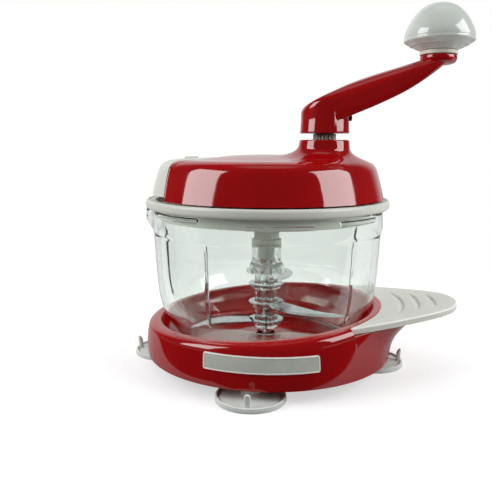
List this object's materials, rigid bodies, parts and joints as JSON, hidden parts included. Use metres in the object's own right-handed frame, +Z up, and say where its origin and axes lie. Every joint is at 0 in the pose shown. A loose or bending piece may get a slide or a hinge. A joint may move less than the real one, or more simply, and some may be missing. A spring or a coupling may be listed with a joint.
{
  "type": "crank food chopper",
  "caption": "Hand cranked food chopper: suction cup base with palm rest, clear bowl, bladed stem, geared lid with feed flap, and a crank arm with a spinning knob.",
  "frame": {"origin": "middle of the part's footprint, on the surface that the suction cups stand on", "axes": "+Z up, +X from the bowl's axis along the middle of the palm rest, -Y towards the front with the plate"},
  "size_m": [0.2464, 0.2088, 0.2597],
  "materials": {
    "red_shell": "high gloss red",
    "grey_plastic": "satin light grey",
    "knob_grey": "smooth light grey",
    "plate_grey": "bare grey plate",
    "clear_bowl": "clear plastic",
    "clear_stem": "clear plastic",
    "foot_rubber": "soft grey rubber",
    "white_plastic": "moulded white",
    "steel": "polished steel",
    "shaft_steel": "ribbed steel",
    "dark_steel": "blackened"
  },
  "bodies": {
    "base": {"base_shell": "red_shell", "base_plate": "red_shell", "palm_rest": "grey_plastic", "name_plate": "plate_grey", "foot_right": "foot_rubber", "foot_back": "foot_rubber", "foot_left": "foot_rubber", "foot_front": "foot_rubber", "base_screw_1": "steel", "base_screw_2": "steel", "base_screw_3": "steel", "base_screw_4": "steel", "palm_screw_front": "steel", "palm_screw_back": "steel"},
    "bowl": {"bowl": "clear_bowl", "bowl_pin": "steel"},
    "blades": {"blade_stem": "clear_stem", "blade_lower": "steel", "blade_middle": "steel", "blade_upper": "steel"},
    "lid": {"lid_body": "grey_plastic", "lid_cover": "red_shell", "flap_hinge_pin": "steel", "crank_bushing": "white_plastic", "spindle_bushing": "white_plastic", "lid_screw_1": "steel", "lid_screw_2": "steel", "lid_screw_3": "steel", "lid_screw_4": "steel"},
    "flap": {"feed_flap": "grey_plastic"},
    "crank": {"crank_gear": "white_plastic", "crank_shaft": "shaft_steel", "crank_arm": "red_shell", "crank_set_screw": "dark_steel", "knob_pin": "steel", "knob_washer": "white_plastic"},
    "knob": {"knob": "knob_grey"},
    "spindle": {"drive_spindle": "grey_plastic", "spindle_pinion": "white_plastic", "pinion_screw": "steel"}
  },
  "joints": [
    {"name": "bowl_lift", "type": "slide", "parent": "base", "child": "bowl", "axis": [0, 0, 1], "range_m": [0, 0.045]},
    {"name": "lid_lift", "type": "slide", "parent": "bowl", "child": "lid", "axis": [0, 0, 1], "range_m": [0, 0.05]},
    {"name": "crank_turn", "type": "hinge", "parent": "lid", "child": "crank", "pos_m": [0.02323, -0.01959, 0.172], "axis": [0, 0, 1], "continuous": true},
    {"name": "knob_spin", "type": "hinge", "parent": "crank", "child": "knob", "pos_m": [0.0996, -0.01358, 0.24], "axis": [0, 0, 1], "continuous": true},
    {"name": "spindle_turn", "type": "hinge", "parent": "lid", "child": "spindle", "pos_m": [-0.01839, 0, 0.12], "axis": [0, 0, 1], "continuous": true},
    {"name": "blade_turn", "type": "hinge", "parent": "bowl", "child": "blades", "pos_m": [-0.01839, 0, 0.04], "axis": [0, 0, 1], "continuous": true},
    {"name": "flap_open", "type": "hinge", "parent": "lid", "child": "flap", "pos_m": [-0.05386, 0.01669, 0.1512], "axis": [0.4258, 0.9048, 0], "range_deg": [0, 95]}
  ],
  "couplings": [
    {"joint": "spindle_turn", "follows": "crank_turn", "ratio": -2.2857},
    {"joint": "blade_turn", "follows": "crank_turn", "ratio": -2.2857}
  ]
}
